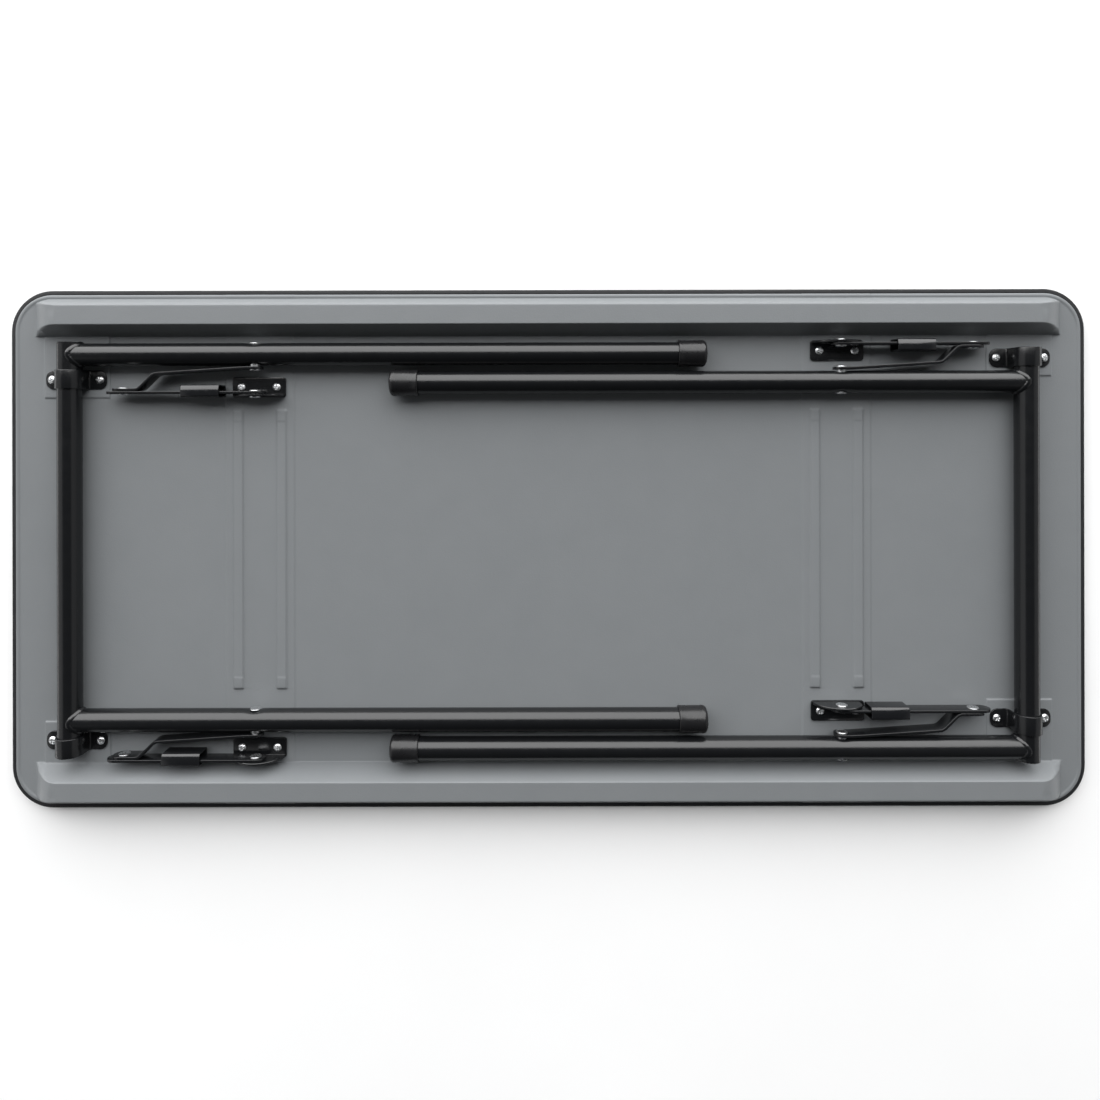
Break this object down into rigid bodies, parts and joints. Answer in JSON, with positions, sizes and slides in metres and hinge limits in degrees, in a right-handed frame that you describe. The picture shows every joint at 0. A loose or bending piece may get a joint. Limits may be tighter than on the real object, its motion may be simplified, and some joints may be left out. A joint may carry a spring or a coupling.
{
  "type": "folding table",
  "caption": "Folding table shown from its underside, legs folded flat: moulded top with stiffening rails, tubular leg frames, straps, folding braces and sliding locks.",
  "frame": {"origin": "centre of the work face, which lies face down on z = 0", "axes": "+X along the table's length, +Y across it, +Z out of the underside, towards which the legs unfold"},
  "size_m": [1.22, 0.588, 0.0443],
  "materials": {
    "grey_skin": "grey ABS with a fine haircell grain",
    "dark_skin": "near-black ABS, satin",
    "black_coat": "black powder coat on steel, satin",
    "black_cap": "black polyethylene, smooth",
    "black_ring": "black powder coat, a little glossier",
    "zinc": "bright zinc plate",
    "timber": "unfinished board, inside",
    "bare_steel": "mill finish, inside"
  },
  "bodies": {
    "root": {"top_skin": "dark_skin", "underside_skin": "grey_skin", "core_panel": "timber", "rail_tube_rear": "bare_steel", "rail_tube_front": "bare_steel", "cross_board_left": "timber", "cross_board_right": "timber", "strap_screws_left": "zinc", "strap_screws_right": "zinc", "bracket_screws_left": "zinc", "bracket_screws_right": "zinc", "bracket_rivets_left": "zinc", "bracket_rivets_right": "zinc", "hinge_block_left_rear": "timber", "hinge_block_left_front": "timber", "hinge_block_right_front": "timber", "hinge_block_right_rear": "timber", "strap_left_rear": "black_coat", "strap_left_front": "black_coat", "strap_right_front": "black_coat", "strap_right_rear": "black_coat", "bracket_left_rear": "black_coat", "bracket_left_front": "black_coat", "bracket_right_front": "black_coat", "bracket_right_rear": "black_coat"},
    "leg_frame_left": {"cross_tube_left": "black_coat", "tube_plugs_left": "black_cap", "leg_bolts_left": "zinc", "leg_tube_left_rear": "black_coat", "leg_tube_left_front": "black_coat", "foot_cap_left_rear": "black_cap", "foot_cap_left_front": "black_cap"},
    "leg_frame_right": {"cross_tube_right": "black_coat", "tube_plugs_right": "black_cap", "leg_bolts_right": "zinc", "leg_tube_right_front": "black_coat", "leg_tube_right_rear": "black_coat", "foot_cap_right_front": "black_cap", "foot_cap_right_rear": "black_cap"},
    "upper_brace_left_rear": {"upper_stay_left_rear": "black_coat", "knee_rivet_head_left_rear": "zinc"},
    "lower_brace_left_rear": {"lower_stay_left_rear": "black_coat", "knee_rivet_tail_left_rear": "zinc"},
    "ring_left_rear": {"lock_ring_left_rear": "black_ring"},
    "upper_brace_left_front": {"upper_stay_left_front": "black_coat", "knee_rivet_head_left_front": "zinc"},
    "lower_brace_left_front": {"lower_stay_left_front": "black_coat", "knee_rivet_tail_left_front": "zinc"},
    "ring_left_front": {"lock_ring_left_front": "black_ring"},
    "upper_brace_right_front": {"upper_stay_right_front": "black_coat", "knee_rivet_head_right_front": "zinc"},
    "lower_brace_right_front": {"lower_stay_right_front": "black_coat", "knee_rivet_tail_right_front": "zinc"},
    "ring_right_front": {"lock_ring_right_front": "black_ring"},
    "upper_brace_right_rear": {"upper_stay_right_rear": "black_coat", "knee_rivet_head_right_rear": "zinc"},
    "lower_brace_right_rear": {"lower_stay_right_rear": "black_coat", "knee_rivet_tail_right_rear": "zinc"},
    "ring_right_rear": {"lock_ring_right_rear": "black_ring"}
  },
  "joints": [
    {"name": "fold_left", "type": "hinge", "parent": "root", "child": "leg_frame_left", "pos_m": [-0.534, 0, 0.0293], "axis": [0, -1, 0], "range_deg": [0, 90]},
    {"name": "fold_right", "type": "hinge", "parent": "root", "child": "leg_frame_right", "pos_m": [0.534, 0, 0.0293], "axis": [0, 1, 0], "range_deg": [0, 90]},
    {"name": "upper_pivot_left_rear", "type": "hinge", "parent": "root", "child": "upper_brace_left_rear", "pos_m": [-0.327, 0.1774, 0.0293], "axis": [0, 1, 0], "range_deg": [0, 45]},
    {"name": "lower_pivot_left_rear", "type": "hinge", "parent": "leg_frame_left", "child": "lower_brace_left_rear", "pos_m": [-0.327, 0.2047, 0.0293], "axis": [0, -1, 0], "range_deg": [0, 45]},
    {"name": "ring_slide_left_rear", "type": "slide", "parent": "upper_brace_left_rear", "child": "ring_left_rear", "axis": [-1, 0, 0], "range_m": [-0.0118, 0.0232]},
    {"name": "upper_pivot_left_front", "type": "hinge", "parent": "root", "child": "upper_brace_left_front", "pos_m": [-0.327, -0.2304, 0.0293], "axis": [0, 1, 0], "range_deg": [0, 45]},
    {"name": "lower_pivot_left_front", "type": "hinge", "parent": "leg_frame_left", "child": "lower_brace_left_front", "pos_m": [-0.327, -0.2031, 0.0293], "axis": [0, -1, 0], "range_deg": [0, 45]},
    {"name": "ring_slide_left_front", "type": "slide", "parent": "upper_brace_left_front", "child": "ring_left_front", "axis": [-1, 0, 0], "range_m": [-0.0338, 0.0012]},
    {"name": "upper_pivot_right_front", "type": "hinge", "parent": "root", "child": "upper_brace_right_front", "pos_m": [0.327, -0.1774, 0.0293], "axis": [0, -1, 0], "range_deg": [0, 45]},
    {"name": "lower_pivot_right_front", "type": "hinge", "parent": "leg_frame_right", "child": "lower_brace_right_front", "pos_m": [0.327, -0.2047, 0.0293], "axis": [0, 1, 0], "range_deg": [0, 45]},
    {"name": "ring_slide_right_front", "type": "slide", "parent": "upper_brace_right_front", "child": "ring_right_front", "axis": [1, 0, 0], "range_m": [-0.0046, 0.0304]},
    {"name": "upper_pivot_right_rear", "type": "hinge", "parent": "root", "child": "upper_brace_right_rear", "pos_m": [0.327, 0.2304, 0.0293], "axis": [0, -1, 0], "range_deg": [0, 45]},
    {"name": "lower_pivot_right_rear", "type": "hinge", "parent": "leg_frame_right", "child": "lower_brace_right_rear", "pos_m": [0.327, 0.2031, 0.0293], "axis": [0, 1, 0], "range_deg": [0, 45]},
    {"name": "ring_slide_right_rear", "type": "slide", "parent": "upper_brace_right_rear", "child": "ring_right_rear", "axis": [1, 0, 0], "range_m": [-0.0346, 0.0004]}
  ],
  "couplings": [
    {"joint": "upper_pivot_left_rear", "follows": "fold_left", "ratio": 0.5},
    {"joint": "lower_pivot_left_rear", "follows": "fold_left", "ratio": 0.5},
    {"joint": "upper_pivot_left_front", "follows": "fold_left", "ratio": 0.5},
    {"joint": "lower_pivot_left_front", "follows": "fold_left", "ratio": 0.5},
    {"joint": "upper_pivot_right_front", "follows": "fold_right", "ratio": 0.5},
    {"joint": "lower_pivot_right_front", "follows": "fold_right", "ratio": 0.5},
    {"joint": "upper_pivot_right_rear", "follows": "fold_right", "ratio": 0.5},
    {"joint": "lower_pivot_right_rear", "follows": "fold_right", "ratio": 0.5}
  ]
}
